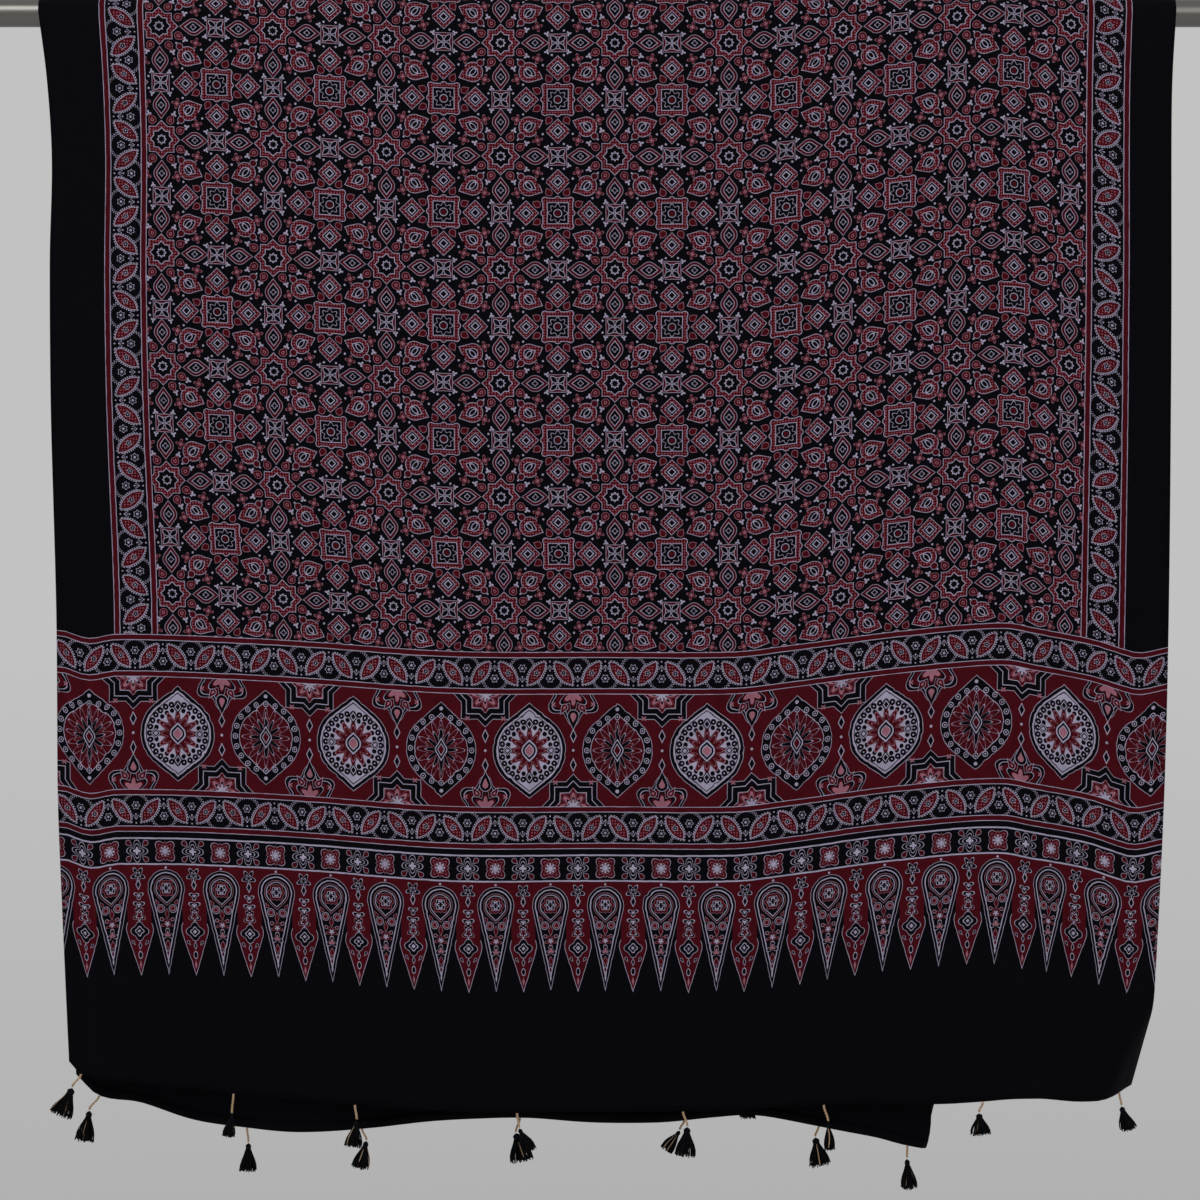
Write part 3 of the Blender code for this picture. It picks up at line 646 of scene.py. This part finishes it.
@dataclass(frozen=True)
class Drop:
    """One side of the hanging cloth: folds that open out on the way down, and one creased corner."""

    side: float  # -1 in front of the rod, 1 behind it
    flanks: Table  # across, half width, degrees
    crease: tuple[float, ...]  # top across, top drop, foot across, foot drop, degrees, radius, ramp
    drawn_in: Table
    width: float
    wrap_radius: float
    still: tuple[float, float]  # the column that hangs straight, and its x
    full_drop: float = 1.10
    growth: float = 1.15
    most_growth: float = 1.1
    edge_power: float = 5.0
    steps: int = 561

    def section(self, drop: float) -> tuple[np.ndarray, np.ndarray, np.ndarray, np.ndarray]:
        """Adds up the horizontal section at one height.

        Args:
            drop: How far below the rod's axis.

        Returns:
            The places across, and the x, y and turn there.
        """
        across = np.linspace(0.0, self.width, self.steps)
        turn = np.zeros(self.steps)
        for middle, half_width, degrees in self.flanks:
            share = np.clip((across - middle) / half_width, -1.0, 1.0)
            turn += math.radians(degrees) * np.cos(share * math.pi / 2) ** 2
        turn *= min(max(drop / self.full_drop, 0.0), self.most_growth) ** self.growth
        between = (turn[1:] + turn[:-1]) / 2
        step = across[1] - across[0]
        x = np.concatenate([[0.0], np.cumsum(np.cos(between) * step)])
        y = np.concatenate([[0.0], np.cumsum(np.sin(between) * step)])
        x -= np.interp(self.still[0], across, x)
        y += self.side * self.wrap_radius - np.interp(self.still[0], across, y)
        spread = 1.0 + self.edge_power * (1.0 - ease((drop - 0.2) / 0.4))
        left = along_curve(self.drawn_in, drop, 1) * np.clip(-x / self.still[0], 0.0, 1.0) ** spread
        right = along_curve(self.drawn_in, drop, 2) * np.clip(x / (self.width - self.still[0]), 0.0, 1.0) ** spread
        return across, self.still[1] + x + left - right, y, turn

    def folded(self, across: float, drop: float) -> tuple[float, float, float]:
        """Turns what lies past the crease.

        Args:
            across: The place across the cloth.
            drop: The place down it.

        Returns:
            Across, drop and how far it stands off the drop.
        """
        top_across, top_drop, foot_across, foot_drop, degrees, radius, ramp = self.crease
        top = Vector((top_across, top_drop))
        down = (Vector((foot_across, foot_drop)) - top).normalized()
        right = Vector((down.y, -down.x))
        place = Vector((across, drop))
        out = (place - top).dot(right)
        turn = math.radians(degrees) * ease((drop - top_drop) / ramp)
        if out <= 0.0 or turn <= 1e-6:
            return across, drop, 0.0
        angle = min(out / radius, turn)
        straight = out - angle * radius
        reach = radius * math.sin(angle) + straight * math.cos(angle)
        place += right * (reach - out)
        return place.x, place.y, radius * (1.0 - math.cos(angle)) + straight * math.sin(angle)

    def point(self, across: float, drop: float, lift: float = 0.0) -> Vector:
        """The place in space of a point on this drop.

        Args:
            across: The place across the cloth.
            drop: The place down it.
            lift: How far it stands off towards the back.

        Returns:
            The point.
        """
        across, drop, stand = self.folded(across, drop)
        steps, x, y, turn = self.section(drop)
        angle = np.interp(across, steps, turn)
        stand += lift
        return Vector((
            np.interp(across, steps, x) - math.sin(angle) * stand,
            np.interp(across, steps, y) + math.cos(angle) * stand,
            -drop,
        ))


@dataclass
class AjrakhCloth:
    """The printed cloth: bands of print on one sheet, hung over the rod, with a narrow turned hem."""

    width: float = 1.130
    wrap_radius: float = 0.0155
    still: tuple[float, float] = (0.572, 0.0141)
    middle: float = 0.57325  # the print's middle across
    border: tuple[float, float] = (0.5133, 0.4690)  # the side border's edges from the middle
    star: tuple[float, float] = (0.1196, 0.11326)  # the first star column and their pitch
    star_row: float = 0.1127
    end_line: float = 0.6619  # where the end panel starts, along the cloth from the rod's top
    last_star: float = 0.0410  # from there back to the last row of stars
    star_rows: int = 11
    scale: float = 0.9925 * MM  # one millimetre of the block in the drawn-in cloth
    panel: tuple[float, ...] = (42.5, 154.5, 197.0, 230.0, 345.0)  # where each band of the panel ends
    medallion: tuple[float, float] = (0.0339, 0.0902)
    cone: tuple[float, float] = (0.0242, 0.0567)
    spacing: float = 0.0092
    thickness: float = 0.0005
    hem: float = 0.009
    hem_gap: float = 0.0011
    ripple: float = 0.0013
    hems: tuple[Table, Table] = (
        ((0, 1.0425), (0.012, 1.0545), (0.083, 1.0645), (0.172, 1.0755), (0.300, 1.0855), (0.470, 1.0935),
         (0.643, 1.0925), (0.788, 1.0855), (0.917, 1.0845), (0.976, 1.0775), (1.010, 1.0785), (1.052, 1.0835),
         (1.081, 1.0825), (1.130, 1.0775)),
        ((0, 1.0615), (0.022, 1.0825), (0.066, 1.0915), (0.125, 1.1095), (0.187, 1.1165), (0.240, 1.1195),
         (0.315, 1.1155), (0.382, 1.1105), (0.483, 1.1075), (0.557, 1.1105), (0.619, 1.1105), (0.676, 1.1065),
         (0.720, 1.1055), (0.781, 1.1155), (0.844, 1.1255), (0.880, 1.1345), (0.930, 1.1415), (1.130, 1.1415)),
    )
    # How far the weft sags below its straight line, across the cloth, in millimetres.
    sag: Table = (
        (0.0057, -21.8), (0.0335, -13.9), (0.0612, -17.9), (0.1469, -15.9), (0.2495, -10.9), (0.4034, -1.0),
        (0.5574, 0.0), (0.6925, -0.4), (0.7497, -6.9), (0.8592, -20.8), (0.9614, -29.2), (0.9947, -23.8),
        (1.0533, -12.9), (1.0889, -2.0), (1.1021, 0.6), (1.1300, -5.0),
    )
    drawn_in: Table = (
        (0.00, 0.000, 0.000), (0.07, 0.009, 0.004), (0.15, 0.014, 0.005), (0.25, 0.012, 0.005),
        (0.40, 0.013, 0.005), (0.60, 0.018, 0.006), (0.78, 0.019, 0.009), (0.90, 0.023, 0.013),
        (1.00, 0.027, 0.017), (1.10, 0.031, 0.020), (1.20, 0.034, 0.022),
    )

    def __post_init__(self) -> None:
        """Sets up the two drops."""
        shared = (self.drawn_in, self.width, self.wrap_radius, self.still)
        self.front = Drop(-1.0, (
            (0.020, 0.020, -20.0), (0.110, 0.034, 24.0), (0.300, 0.100, -7.0), (0.470, 0.090, 8.0),
            (0.655, 0.080, -8.0), (0.790, 0.070, 9.0), (0.872, 0.050, -9.0), (0.945, 0.032, -28.0),
            (1.012, 0.045, 30.0), (1.082, 0.030, -18.0),
        ), (1.132, 0.9665, 1.069, 1.0865, 48.0, 0.016, 0.010), *shared)
        self.back = Drop(1.0, (
            (0.045, 0.035, 16.0), (0.175, 0.070, -9.0), (0.345, 0.090, 9.0), (0.495, 0.060, -10.0),
            (0.680, 0.080, 9.0), (0.800, 0.040, -13.0),
        ), (1.116, 0.010, 0.897, 1.1415, 180.0, 0.003, 0.110), *shared)
        self.quarter = self.wrap_radius * math.pi / 2

    def spread(self, stops: list[float]) -> list[float]:
        """Fills in evenly between stops, no further apart than the spacing."""
        lines = [stops[0]]
        for start, end in zip(stops, stops[1:]):
            count = math.ceil((end - start) / self.spacing)
            lines += [start + (end - start) * (i + 1) / count for i in range(count)]
        return lines

    def hang(self, across: float, along: float, lift: float = 0.0) -> Vector:
        """Hangs a place on the flat cloth over the rod.

        Args:
            across: Metres from the left selvedge.
            along: Metres along the path, from the top of the rod, positive in front.
            lift: How far it stands off inwards, for a turned hem.

        Returns:
            The point in space.
        """
        if abs(along) < self.quarter:
            angle = math.pi / 2 - along / self.wrap_radius
            x = self.still[1] + across - self.still[0]
            return Vector((x, -self.wrap_radius * math.cos(angle), self.wrap_radius * math.sin(angle)))
        drop = abs(along) - self.quarter
        side = self.front if along > 0 else self.back
        rough = noise.noise(Vector((across * 9.0, along * 5.0, 3.7))) + 0.5 * noise.noise(
            Vector((across * 24.0, along * 13.0, 8.1)))
        ripple = self.ripple * rough * ease(drop / 0.25)
        return side.point(across, drop, -side.side * lift + ripple)

    def path(self, across: float, row: float) -> float:
        """Where a row of the print lies along the path.

        Args:
            across: Metres from the left selvedge.
            row: The row, in metres along the unsagged cloth.

        Returns:
            Metres along the path.
        """
        sag = along_curve(self.sag, across) * MM
        print_end = self.end_line + self.panel[-1] * self.scale
        back_end = self.back_line - self.panel[-1] * self.scale
        if row > print_end:
            hem = along_curve(self.hems[0], across) + self.quarter
            share = (row - print_end) / (self.row_ends[0] - print_end)
            return (print_end + sag) * (1.0 - share) + hem * share
        if row < back_end:
            hem = along_curve(self.hems[1], across) + self.quarter
            share = (back_end - row) / (back_end - self.row_ends[1])
            return (back_end + sag) * (1.0 - share) - hem * share
        return row + sag

    @property
    def back_line(self) -> float:
        """Where the back's end panel starts."""
        return self.end_line - 2.0 * self.last_star - self.star_rows * self.star_row

    @property
    def row_ends(self) -> tuple[float, float]:
        """The rows of the front's and the back's hem."""
        return 1.117, -1.142

    def bands(self) -> list[tuple[float, float, int]]:
        """The bands along the cloth.

        Returns:
            Each band's first row, last row and its number: 0 plain, 1 field, 2 leaves, 3 medallions,
            4 leaves, 5 flowers, 6 cones; negative on the back.
        """
        made = [(self.back_line, self.end_line, 1)]
        for sign, line in ((1, self.end_line), (-1, self.back_line)):
            start = 0.0
            for number, end in enumerate(self.panel, 2):
                made.append((line + sign * start * self.scale, line + sign * end * self.scale, sign * number))
                start = end
        return made

    def print_place(self, band: int, across: float, row: float) -> tuple[float, float]:
        """Where a place on the cloth lies on its band's block.

        Args:
            band: The band's number.
            across: Metres from the left selvedge.
            row: Metres along the unsagged cloth.

        Returns:
            The place on the block, in block metres.
        """
        if band == 1:
            from_star = row - (self.end_line - self.last_star)
            return (across - self.star[0]) / self.star[1] * 0.115, from_star / self.star_row * 0.115
        if band == 7:
            edge = self.border[0] - abs(across - self.middle)
            deep = edge / (self.border[0] - self.border[1]) * 0.0425
            return (row - self.end_line + self.last_star) / self.star_row * 0.115 - 0.0070, deep
        line = self.end_line if band > 0 else self.back_line
        down = abs(row - line) / self.scale * MM
        number = abs(band)
        starts = (0.0, *self.panel)
        down -= starts[number - 2] * MM
        pitch, first = self.cone[1], self.cone[0]
        if number in (2, 4):
            return (across - first) / pitch * 0.0575, down
        if number == 3:
            side = -1.0 if band < 0 else 1.0
            half = (self.panel[1] - self.panel[0]) / 2 * MM
            return (across - self.medallion[0]) / self.medallion[1] * 0.0909, (down - half) * side
        if number == 5:
            return (across - first) / pitch * 0.0574, down
        return (across - first) / pitch * 0.0575 - 0.02875, down

    def make(self, finish: BlockPrint) -> bpy.types.Object:
        """Builds the cloth.

        Args:
            finish: How it is printed.

        Returns:
            The piece.
        """
        bands = self.bands()
        edges = sorted({round(v, 6) for low, high, _ in bands for v in (low, high)})
        rows = self.spread([self.row_ends[1], *edges, self.row_ends[0]])
        outer, inner = self.border
        columns = self.spread([0.0, self.middle - outer, self.middle - inner, self.middle + inner,
                               self.middle + outer, self.width])
        turned = 3  # rows of the turned hem at each end
        mesh = bmesh.new()
        count = (len(columns) - 1, len(rows) - 1 + 2 * turned)
        bmesh.ops.create_grid(mesh, x_segments=count[0], y_segments=count[1], size=0.5)
        flat: dict[bmesh.types.BMVert, tuple[float, float]] = {}
        for vert in mesh.verts:
            column = round((vert.co.x + 0.5) * count[0])
            row = round((vert.co.y + 0.5) * count[1]) - turned
            across = columns[column]
            inside = min(max(row, 0), len(rows) - 1)
            beyond = abs(row - inside)
            along = self.path(across, rows[inside])
            lift = self.hem_gap * min(beyond, 1) * (1.0 if beyond else 0.0)
            back = self.hem * max(beyond - 1, 0) / (turned - 1)
            end = 1.0 if row > inside else -1.0
            vert.co = self.hang(across, along - end * back, lift)
            flat[vert] = (across, rows[inside] - (end * back if beyond else 0.0))
        self.paint(mesh, flat, bands)
        bmesh.ops.recalc_face_normals(mesh, faces=mesh.faces)
        blocks = (Block("plain black", (0, 0), Fold.MIRROR, B, ()), FIELD, LEAVES, MEDALLIONS, FLOWERS, CONES)
        materials = [finish.make(block) for block in blocks]
        piece = finish_piece("ajrakh_cloth", mesh, materials, ["cloth"])
        solid = piece.modifiers.new("thickness", "SOLIDIFY")
        solid.thickness = self.thickness
        solid.offset = 0.0
        return piece

    def paint(self, mesh: bmesh.types.BMesh, flat: dict, bands: list[tuple[float, float, int]]) -> None:
        """Gives each face its band's material and its place on that band's block.

        Args:
            mesh: The hung mesh.
            flat: Each vertex's place on the flat cloth.
            bands: The bands along the cloth.
        """
        prints = mesh.loops.layers.uv.new(PRINT_MAP)
        weaves = mesh.loops.layers.uv.new(WEAVE_MAP)
        kinds = {0: 0, 1: 1, 2: 2, 3: 3, 4: 2, 5: 4, 6: 5, 7: 2}
        outer, inner = self.border
        for face in mesh.faces:
            places = [flat[vert] for vert in face.verts]
            across = sum(place[0] for place in places) / len(places)
            row = sum(place[1] for place in places) / len(places)
            band = next((n for low, high, n in bands if min(low, high) < row < max(low, high)), 0)
            aside = abs(across - self.middle)
            if band == 1 and aside > inner:
                band = 7 if aside < outer else 0
            face.material_index = kinds[abs(band)]
            for loop in face.loops:
                place = flat[loop.vert]
                loop[weaves].uv = place
                loop[prints].uv = self.print_place(band, *place) if band else place


# ---------------------------------------------------------------- tassels


@dataclass(frozen=True)
class Yarn:
    """Spun cotton yarn: matt and hairy, its twist drawn only as a fine noise grain that lightens and bumps it."""

    name: str
    colour: str
    light: str
    roughness: float = 0.85

    def make(self) -> bpy.types.Material:
        """Makes the yarn's material.

        Returns:
            The material.
        """
        material, tree, shader = new_material(self.name)
        place = add_node(tree, "ShaderNodeTexCoord").outputs["Object"]
        grain = add_node(tree, "ShaderNodeTexNoise", {"Vector": place, "Scale": 900.0, "Detail": 3.0}).outputs[0]
        shade = add_node(tree, "ShaderNodeMix", {0: grain, 6: dye(self.colour), 7: dye(self.light)},
                         data_type="RGBA").outputs[2]
        bump = add_node(tree, "ShaderNodeBump", {"Strength": 0.4, "Distance": 0.1 * MM, "Height": grain})
        tree.links.new(shade, shader.inputs["Base Color"])
        tree.links.new(bump.outputs[0], shader.inputs["Normal"])
        shader.inputs["Roughness"].default_value = self.roughness
        shader.inputs["Specular IOR Level"].default_value = 0.1
        return material


@dataclass(frozen=True)
class Tassel:
    """One tassel on its cord: where it is sewn on, how its head hangs, and the form of its skirt."""

    name: str
    across: float
    head: tuple[float, float]
    cord_drop: float
    lean: float
    width: float
    length: float
    cord_radius: float = 0.001
    cord_gap: float = 0.0004
    flatness: float = 0.62
    strands: int = 104
    strand: float = 0.00048
    head_share: float = 0.27

    def sewn_at(self, cloth: AjrakhCloth) -> Vector:
        """Finds where the cord leaves the hem.

        Args:
            cloth: The cloth.

        Returns:
            The point just under the hem.
        """
        front = self.name.startswith("front")
        drop = along_curve(cloth.hems[0 if front else 1], self.across)
        side = cloth.front if front else cloth.back
        return side.point(self.across, drop) - Vector((0.0, 0.0, 0.0005 + self.cord_gap))

    def make(self, cloth: AjrakhCloth, black: bpy.types.Material, beige: bpy.types.Material) -> None:
        """Builds the cord and the tassel.

        Args:
            cloth: The cloth it hangs from.
            black: The yarn of its skirt.
            beige: The yarn of its cord.
        """
        start = self.sewn_at(cloth)
        end = start + Vector((*self.head, -self.cord_drop))
        cord = bmesh.new()
        steps = 22
        for ply in range(2):
            path = []
            for i in range(steps + 1):
                share = i / steps
                sway = ease(share)
                turn = math.pi * ply + share * self.cord_drop / 0.0026 * math.pi * 2.0 * 0.5
                path.append(start + Vector((
                    self.head[0] * sway + math.cos(turn) * self.cord_radius * 0.6,
                    self.head[1] * sway + math.sin(turn) * self.cord_radius * 0.6,
                    -self.cord_drop * share,
                )))
            sweep(cord, path, [self.cord_radius * 0.74] * len(path), 6)
        finish_piece(f"cord_ply_{self.name}", cord, [beige], [f"cord_{self.name}"])
        self.make_skirt(end - Vector((0.0, 0.0, self.cord_gap + self.cord_radius)), black, beige)

    def make_skirt(self, top: Vector, black: bpy.types.Material, beige: bpy.types.Material) -> None:
        """Builds the wound head and the loose strands of the skirt.

        Args:
            top: The head's top.
            black: The skirt's yarn.
            beige: The yarn of the few strands left from the cord.
        """
        draw = random.Random(self.name)
        mesh = bmesh.new()
        half = self.width / 2.0
        head = self.length * self.head_share
        rings = 17
        path, radii = [], []
        for i in range(rings):
            share = i / (rings - 1)
            dome = math.sin(min(share * 2.4, 1.0) * math.pi / 2)
            groove = 0.90 + 0.10 * math.cos(share * math.pi * 12.0)
            path.append(Vector((0.0, 0.0, -head * share)))
            radii.append(max(half * 0.38 * dome * groove * (1.0 - 0.2 * share), 0.0002))
        sweep(mesh, path, radii, 14)
        dark_faces = len(mesh.faces)
        for i in range(self.strands + 3):
            angle = draw.uniform(0.0, math.tau)
            spread = math.sqrt(draw.random())
            long = self.length * draw.uniform(0.86, 0.99)
            curl = Vector((draw.uniform(-1, 1), draw.uniform(-1, 1), 0.0)) * 0.0011
            strand = []
            for j in range(5):
                share = j / 4
                out = half * spread * (0.28 + 0.72 * ease(share) ** 0.7)
                strand.append(Vector((
                    math.cos(angle) * out, math.sin(angle) * out, -head * 0.8 - (long - head * 0.8) * share,
                )) + curl * math.sin(share * math.pi))
            sweep(mesh, strand, [self.strand] * 5, 4)
            if i >= self.strands:
                mesh.faces.ensure_lookup_table()
                for face in mesh.faces[dark_faces:]:
                    face.material_index = 1
            dark_faces = len(mesh.faces)
        swing = Matrix.Translation(top) @ Matrix.Rotation(math.radians(self.lean), 4, "Y") @ Matrix.Diagonal(
            (1.0, self.flatness, 1.0, 1.0))
        bmesh.ops.transform(mesh, matrix=swing, verts=mesh.verts)
        bmesh.ops.recalc_face_normals(mesh, faces=mesh.faces)
        finish_piece(f"yarn_{self.name}", mesh, [black, beige], [f"tassel_{self.name}"])


TASSELS = (
    Tassel("front_1", 0.012, (-0.008, -0.002), 0.012, 25.0, 0.024, 0.030),
    Tassel("front_2", 0.172, (-0.001, -0.004), 0.018, 10.0, 0.013, 0.023),
    Tassel("front_3", 0.300, (0.002, -0.003), 0.013, 9.0, 0.018, 0.027),
    Tassel("front_4", 0.470, (0.002, -0.003), 0.013, -27.0, 0.014, 0.026),
    Tassel("front_5", 0.643, (0.004, -0.003), 0.013, 4.0, 0.022, 0.030),
    Tassel("front_6", 0.788, (0.004, -0.003), 0.015, -4.0, 0.011, 0.028),
    Tassel("front_7", 0.952, (-0.004, -0.002), 0.009, -4.0, 0.021, 0.022),
    Tassel("front_8", 1.108, (0.002, 0.000), 0.012, -17.0, 0.018, 0.025),
    Tassel("back_1", 0.023, (-0.010, 0.003), 0.014, 10.0, 0.020, 0.032),
    Tassel("back_2", 0.180, (0.001, 0.003), 0.014, 2.0, 0.018, 0.029),
    Tassel("back_3", 0.303, (0.004, 0.003), 0.011, 14.0, 0.018, 0.029),
    Tassel("back_4", 0.471, (-0.004, 0.003), 0.014, -12.0, 0.024, 0.030),
    Tassel("back_5", 0.645, (-0.004, 0.003), 0.009, 36.0, 0.014, 0.025),
    Tassel("back_6", 0.787, (-0.003, 0.003), 0.010, -9.0, 0.023, 0.030),
    Tassel("back_7", 0.880, (0.000, 0.003), 0.012, -4.0, 0.017, 0.031),
    Tassel("back_8", 1.105, (0.001, 0.003), 0.013, 3.0, 0.018, 0.030),
)


# ---------------------------------------------------------------- the rod


@dataclass(frozen=True)
class SatinSteel:
    """Stainless steel tube, drawn and lightly polished: streaks along it that blur what it mirrors."""

    colour: str = "#86837F"
    roughness: float = 0.3

    def make(self) -> bpy.types.Material:
        """Makes the steel.

        Returns:
            The material.
        """
        material, tree, shader = new_material("Satin stainless steel, drawn tube")
        place = add_node(tree, "ShaderNodeTexCoord").outputs["Object"]
        long = add_node(tree, "ShaderNodeMapping", {"Vector": place, "Scale": (4.0, 900.0, 900.0)}).outputs[0]
        streak = add_node(tree, "ShaderNodeTexNoise", {"Vector": long, "Scale": 1.0, "Detail": 4.0}).outputs[0]
        rough = add_node(tree, "ShaderNodeMapRange", {
            0: streak, 3: self.roughness - 0.07, 4: self.roughness + 0.1}).outputs[0]
        bump = add_node(tree, "ShaderNodeBump", {"Strength": 0.08, "Distance": 0.05 * MM, "Height": streak})
        shade = add_node(tree, "ShaderNodeMix", {0: streak, 6: dye("#6A6764"), 7: dye(self.colour)},
                         data_type="RGBA").outputs[2]
        tree.links.new(shade, shader.inputs["Base Color"])
        tree.links.new(rough, shader.inputs["Roughness"])
        tree.links.new(bump.outputs[0], shader.inputs["Normal"])
        shader.inputs["Metallic"].default_value = 1.0
        return material


@dataclass(frozen=True)
class Rod:
    """The plain round rod that the cloth hangs over."""

    radius: float = 0.014
    length: float = 1.34
    edge: float = 0.0012
    sides: int = 96

    def make(self, finish: SatinSteel) -> None:
        """Builds the rod.

        Args:
            finish: Its steel.
        """
        mesh = bmesh.new()
        bmesh.ops.create_cone(mesh, cap_ends=True, segments=self.sides, radius1=self.radius, radius2=self.radius,
                              depth=self.length, matrix=Matrix.Rotation(math.pi / 2, 4, "Y"))
        rims = [edge for edge in mesh.edges if abs(edge.verts[0].co.x - edge.verts[1].co.x) < 1e-6]
        bmesh.ops.bevel(mesh, geom=rims, offset=self.edge, segments=4, profile=0.5, affect="EDGES", material=-1)
        rod = finish_piece("steel_rod", mesh, [finish.make()], ["rod"])
        for polygon in rod.data.polygons:
            polygon.use_smooth = len(polygon.vertices) == 4


# ---------------------------------------------------------------- the studio


@dataclass(frozen=True)
class Studio:
    """A pale floor, a pale surround, two soft lamps and the camera."""

    distance: float = 2.6
    frame_width: float = 1.191
    centre: tuple[float, float] = (0.0, -0.5861)
    front_plane: float = -0.0155
    sensor: float = 36.0
    surround: float = 0.54
    low: float = 0.43  # the surround darkens a little towards the floor
    floor_drop: float = 1.30
    floor_half: float = 1.4
    floor_back: float = 0.42  # past this it would rise into the view from the front

    def make(self) -> None:
        """Sets up the floor, the light and the camera."""
        scene = bpy.context.scene
        scene.view_settings.view_transform = "Standard"
        world = bpy.data.worlds.new("pale surround")
        world.use_nodes = True
        scene.world = world
        tree = world.node_tree
        way = add_node(tree, "ShaderNodeTexCoord").outputs["Generated"]
        height = add_node(tree, "ShaderNodeSeparateXYZ", {0: way}).outputs[2]
        shade = add_node(tree, "ShaderNodeMapRange", {0: height, 1: -0.24, 2: -0.02, 3: self.low, 4: self.surround})
        tree.links.new(shade.outputs[0], tree.nodes["Background"].inputs["Color"])
        mesh = bmesh.new()
        bmesh.ops.create_grid(mesh, x_segments=4, y_segments=4, size=self.floor_half)
        middle = self.floor_back - self.floor_half
        bmesh.ops.translate(mesh, verts=mesh.verts, vec=(0.0, middle, -self.floor_drop))
        data = bpy.data.meshes.new("floor")
        mesh.to_mesh(data)
        mesh.free()
        material, _, shader = new_material("Matt pale floor")
        shader.inputs["Base Color"].default_value = dye("#D9D8D6")
        shader.inputs["Roughness"].default_value = 0.9
        data.materials.append(material)
        floor = bpy.data.objects.new("floor", data)
        scene.collection.objects.link(floor)
        self.lamp("key", (-1.6, -2.4, 1.3), 22.0, 1.4)
        self.lamp("fill", (1.8, -2.2, 0.4), 9.0, 1.6)
        self.lamp("rear", (0.8, 2.4, 1.2), 14.0, 1.6)
        lens = bpy.data.cameras.new("camera")
        lens.sensor_width = self.sensor
        lens.lens = self.sensor * self.distance / self.frame_width
        lens.dof.use_dof = False
        camera = bpy.data.objects.new("camera", lens)
        camera.location = (self.centre[0], self.front_plane - self.distance, self.centre[1])
        camera.rotation_euler = (math.pi / 2, 0.0, 0.0)
        scene.collection.objects.link(camera)
        scene.camera = camera

    def lamp(self, name: str, place: tuple[float, float, float], power: float, size: float) -> None:
        """Adds a soft lamp that faces the middle of the cloth.

        Args:
            name: Its name.
            place: Where it stands.
            power: Its watts.
            size: The side of its square.
        """
        light = bpy.data.lights.new(name, "AREA")
        light.energy = power
        light.size = size
        lamp = bpy.data.objects.new(name, light)
        lamp.location = place
        aim = Vector((0.0, 0.0, self.centre[1])) - Vector(place)
        lamp.rotation_euler = aim.to_track_quat("-Z", "Y").to_euler()
        bpy.context.scene.collection.objects.link(lamp)


def main() -> None:
    """Builds the hanging cloth and its studio."""
    Studio().make()
    Rod().make(SatinSteel())
    cloth = AjrakhCloth()
    piece = cloth.make(BlockPrint())
    black = Yarn("Black cotton yarn, loosely spun", "#050508", "#0D0C11").make()
    beige = Yarn("Undyed cotton cord, two ply", "#A08468", "#CDAE90").make()
    for tassel in TASSELS:
        tassel.make(cloth, black, beige)


if __name__ == "__main__":
    main()
